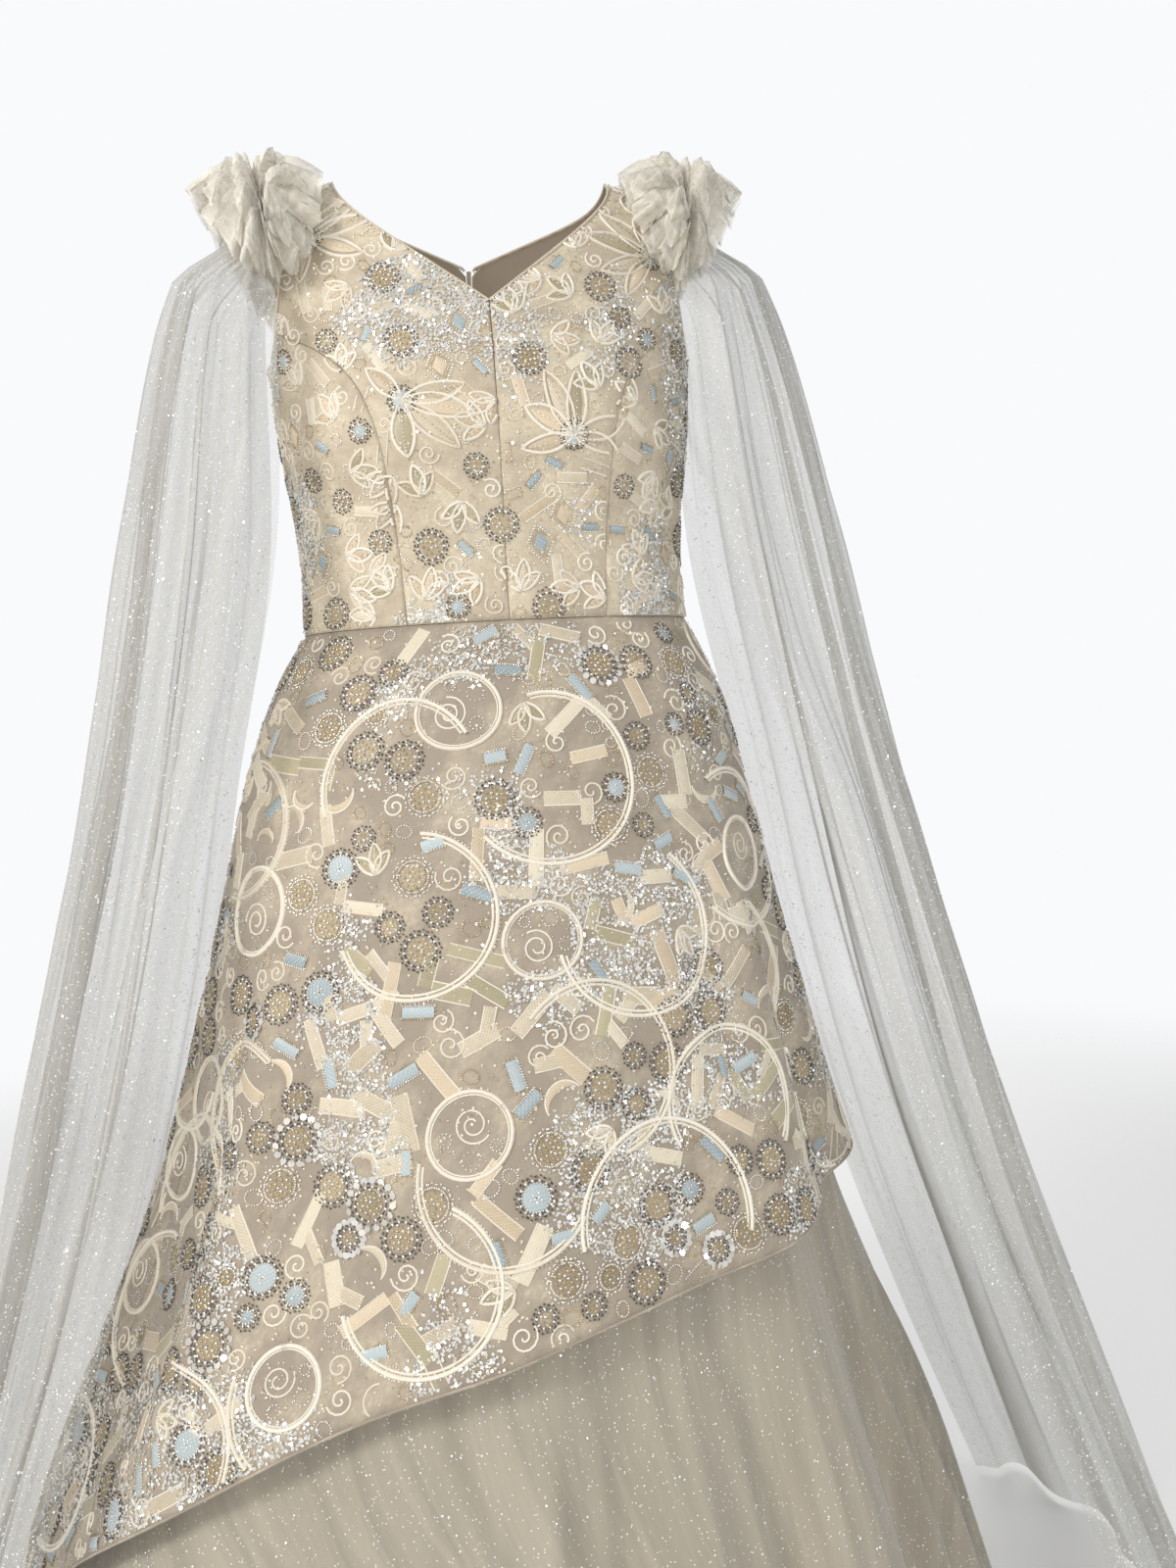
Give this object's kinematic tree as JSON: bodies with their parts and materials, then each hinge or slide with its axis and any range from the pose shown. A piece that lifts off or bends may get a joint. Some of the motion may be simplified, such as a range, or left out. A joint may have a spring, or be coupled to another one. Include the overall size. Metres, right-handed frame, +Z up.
{
  "type": "sequin evening gown",
  "caption": "Hollow floor-length evening gown: fitted V-neck bodice, slant-hem embroidered overskirt, tulle underskirt and floor-length tulle wings under shoulder poufs.",
  "frame": {"origin": "middle of the shoulder line, level with the neck ends of the two shoulder seams", "axes": "+Z up, the gown's front faces -Y, +X is the gown's left side, at the viewer's right"},
  "size_m": [1.2846, 0.8189, 1.4489],
  "materials": {
    "bodice_cloth": "warm champagne mesh with cord, bead and sequin embroidery",
    "skirt_cloth": "greige mesh with cord, bead and pale sequin embroidery",
    "underskirt_tulle": "champagne-grey glitter tulle",
    "wing_tulle": "sheer ivory-grey tulle with fine glitter",
    "pouf_tulle": "gathered ivory tulle",
    "zip_tape": "dyed-to-match concealed zip"
  },
  "bodies": {
    "root": {"bodice_front_left": "bodice_cloth", "bodice_front_right": "bodice_cloth", "bodice_side_front_left": "bodice_cloth", "bodice_side_front_right": "bodice_cloth", "bodice_back_left": "bodice_cloth", "bodice_back_right": "bodice_cloth", "back_zip": "zip_tape", "overskirt_front": "skirt_cloth", "overskirt_back_left": "skirt_cloth", "overskirt_back_right": "skirt_cloth", "underskirt_front_left": "underskirt_tulle", "underskirt_front_right": "underskirt_tulle", "underskirt_back_left": "underskirt_tulle", "underskirt_back_right": "underskirt_tulle", "gather_left": "pouf_tulle", "gather_right": "pouf_tulle", "pouf_left": "pouf_tulle", "pouf_right": "pouf_tulle", "wing_front_left": "wing_tulle", "wing_back_left": "wing_tulle", "wing_front_right": "wing_tulle", "wing_back_right": "wing_tulle"}
  },
  "joints": []
}
